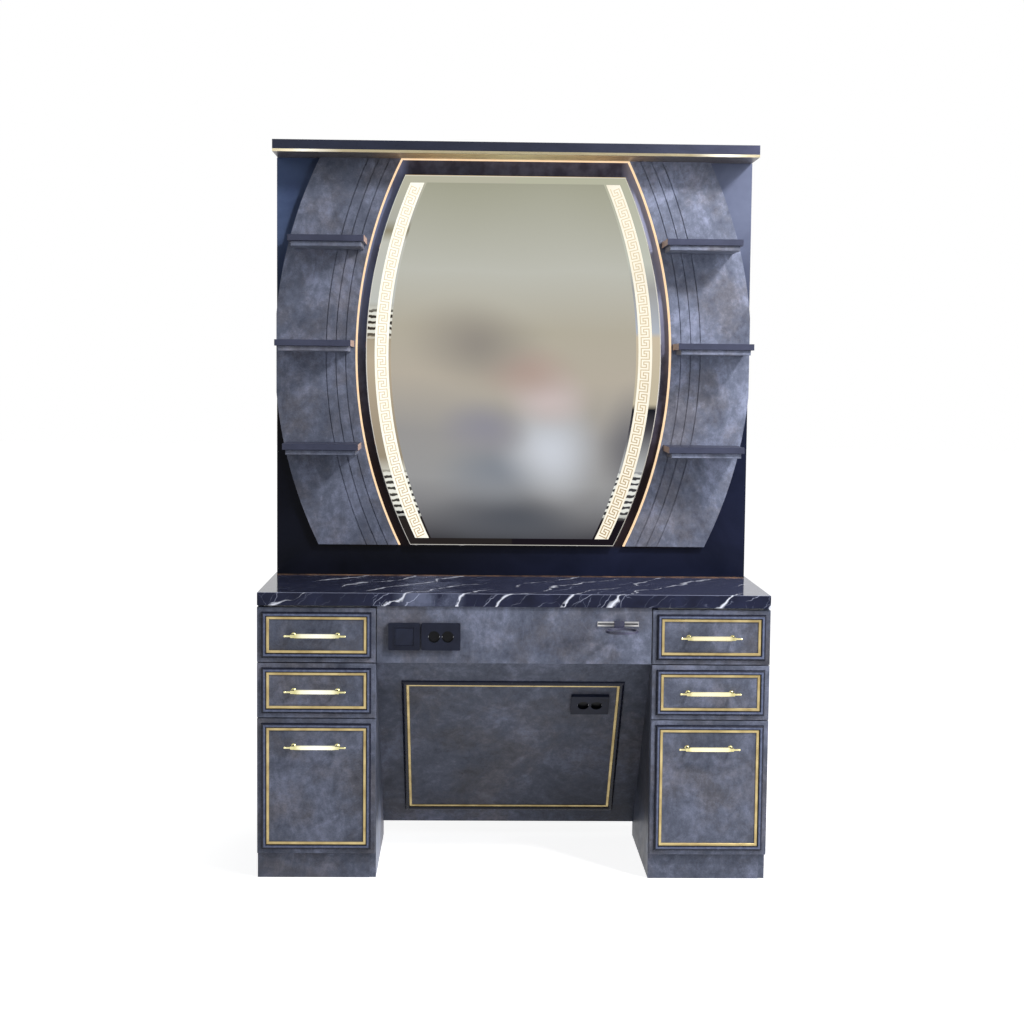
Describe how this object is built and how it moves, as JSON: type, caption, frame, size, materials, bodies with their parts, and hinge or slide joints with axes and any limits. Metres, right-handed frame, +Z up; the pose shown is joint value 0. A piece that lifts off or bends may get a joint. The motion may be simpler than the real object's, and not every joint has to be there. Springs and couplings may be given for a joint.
{
  "type": "salon station",
  "caption": "Salon styling station: drawer pedestals either side of a knee space, stone counter, and a tall hutch with a lit barrel mirror, side shelves and a cornice.",
  "frame": {"origin": "floor level, under the middle of the whole station, front to back from the dryer ring to the rear face", "axes": "+X to the right as the user faces the mirror, +Y to the back, +Z up"},
  "size_m": [1.502, 0.628, 2.187],
  "materials": {
    "grey_stone_laminate": "cloudy grey-blue stone-look laminate on board, satin",
    "dark_gloss_panel": "black-blue laminate on board, high gloss",
    "marble": "black marble with white veins, polished",
    "dark_moulding": "navy black profile, satin",
    "gold_trim": "gold anodised strip, satin",
    "aluminium_rail": "plain anodised rail",
    "brass_handle": "polished brass",
    "white_board": "plain light board with edge band",
    "steel": "zinc plated",
    "mirror": "silvered glass with a polished edge",
    "light_diffuser": "warm white diffuser over a light strip, lit",
    "black_plastic": "black moulded plastic, satin",
    "dark_metal": "dark powder coat"
  },
  "bodies": {
    "station": {"counter_top": "marble", "left_outer_side": "grey_stone_laminate", "left_inner_side": "grey_stone_laminate", "right_inner_side": "grey_stone_laminate", "right_outer_side": "grey_stone_laminate", "carcass_cross_boards": "white_board", "cabinet_backs": "white_board", "plinth_boards": "grey_stone_laminate", "cabinet_runners": "steel", "apron": "grey_stone_laminate", "modesty_panel": "grey_stone_laminate", "modesty_moulding": "dark_moulding", "modesty_trim": "gold_trim", "socket_outlets": "black_plastic", "switch_plate": "black_plastic", "dryer_holder_rail": "aluminium_rail", "dryer_ring": "dark_metal", "hutch_face_panel": "dark_gloss_panel", "hutch_frame": "dark_gloss_panel", "hutch_back_panel": "white_board", "cornice_boards": "dark_gloss_panel", "cornice_gold_strip": "gold_trim", "left_decor_panel": "grey_stone_laminate", "right_decor_panel": "grey_stone_laminate", "led_light_profiles": "light_diffuser", "mirror_carrier_board": "white_board", "mirror_glass_panel": "mirror", "shelf_tops": "dark_gloss_panel", "shelf_battens": "grey_stone_laminate"},
    "left_upper_drawer": {"left_upper_drawer_front": "grey_stone_laminate", "left_upper_drawer_moulding": "dark_moulding", "left_upper_drawer_trim": "gold_trim", "left_upper_drawer_handle": "brass_handle", "left_upper_drawer_box": "white_board"},
    "left_middle_drawer": {"left_middle_drawer_front": "grey_stone_laminate", "left_middle_drawer_moulding": "dark_moulding", "left_middle_drawer_trim": "gold_trim", "left_middle_drawer_handle": "brass_handle", "left_middle_drawer_box": "white_board"},
    "left_lower_drawer": {"left_lower_drawer_front": "grey_stone_laminate", "left_lower_drawer_moulding": "dark_moulding", "left_lower_drawer_trim": "gold_trim", "left_lower_drawer_handle": "brass_handle", "left_lower_drawer_box": "white_board"},
    "right_upper_drawer": {"right_upper_drawer_front": "grey_stone_laminate", "right_upper_drawer_moulding": "dark_moulding", "right_upper_drawer_trim": "gold_trim", "right_upper_drawer_handle": "brass_handle", "right_upper_drawer_box": "white_board"},
    "right_middle_drawer": {"right_middle_drawer_front": "grey_stone_laminate", "right_middle_drawer_moulding": "dark_moulding", "right_middle_drawer_trim": "gold_trim", "right_middle_drawer_handle": "brass_handle", "right_middle_drawer_box": "white_board"},
    "right_lower_drawer": {"right_lower_drawer_front": "grey_stone_laminate", "right_lower_drawer_moulding": "dark_moulding", "right_lower_drawer_trim": "gold_trim", "right_lower_drawer_handle": "brass_handle", "right_lower_drawer_box": "white_board"},
    "rocker": {"switch_rocker": "black_plastic"}
  },
  "joints": [
    {"name": "left_upper_drawer_slide", "type": "slide", "parent": "station", "child": "left_upper_drawer", "axis": [0, -1, 0], "range_m": [0, 0.35]},
    {"name": "left_middle_drawer_slide", "type": "slide", "parent": "station", "child": "left_middle_drawer", "axis": [0, -1, 0], "range_m": [0, 0.35]},
    {"name": "left_lower_drawer_slide", "type": "slide", "parent": "station", "child": "left_lower_drawer", "axis": [0, -1, 0], "range_m": [0, 0.35]},
    {"name": "right_upper_drawer_slide", "type": "slide", "parent": "station", "child": "right_upper_drawer", "axis": [0, -1, 0], "range_m": [0, 0.35]},
    {"name": "right_middle_drawer_slide", "type": "slide", "parent": "station", "child": "right_middle_drawer", "axis": [0, -1, 0], "range_m": [0, 0.35]},
    {"name": "right_lower_drawer_slide", "type": "slide", "parent": "station", "child": "right_lower_drawer", "axis": [0, -1, 0], "range_m": [0, 0.35]},
    {"name": "switch_rocker_tilt", "type": "hinge", "parent": "station", "child": "rocker", "pos_m": [-0.322, -0.208, 0.723], "axis": [1, 0, 0], "range_deg": [-8, 0]}
  ]
}
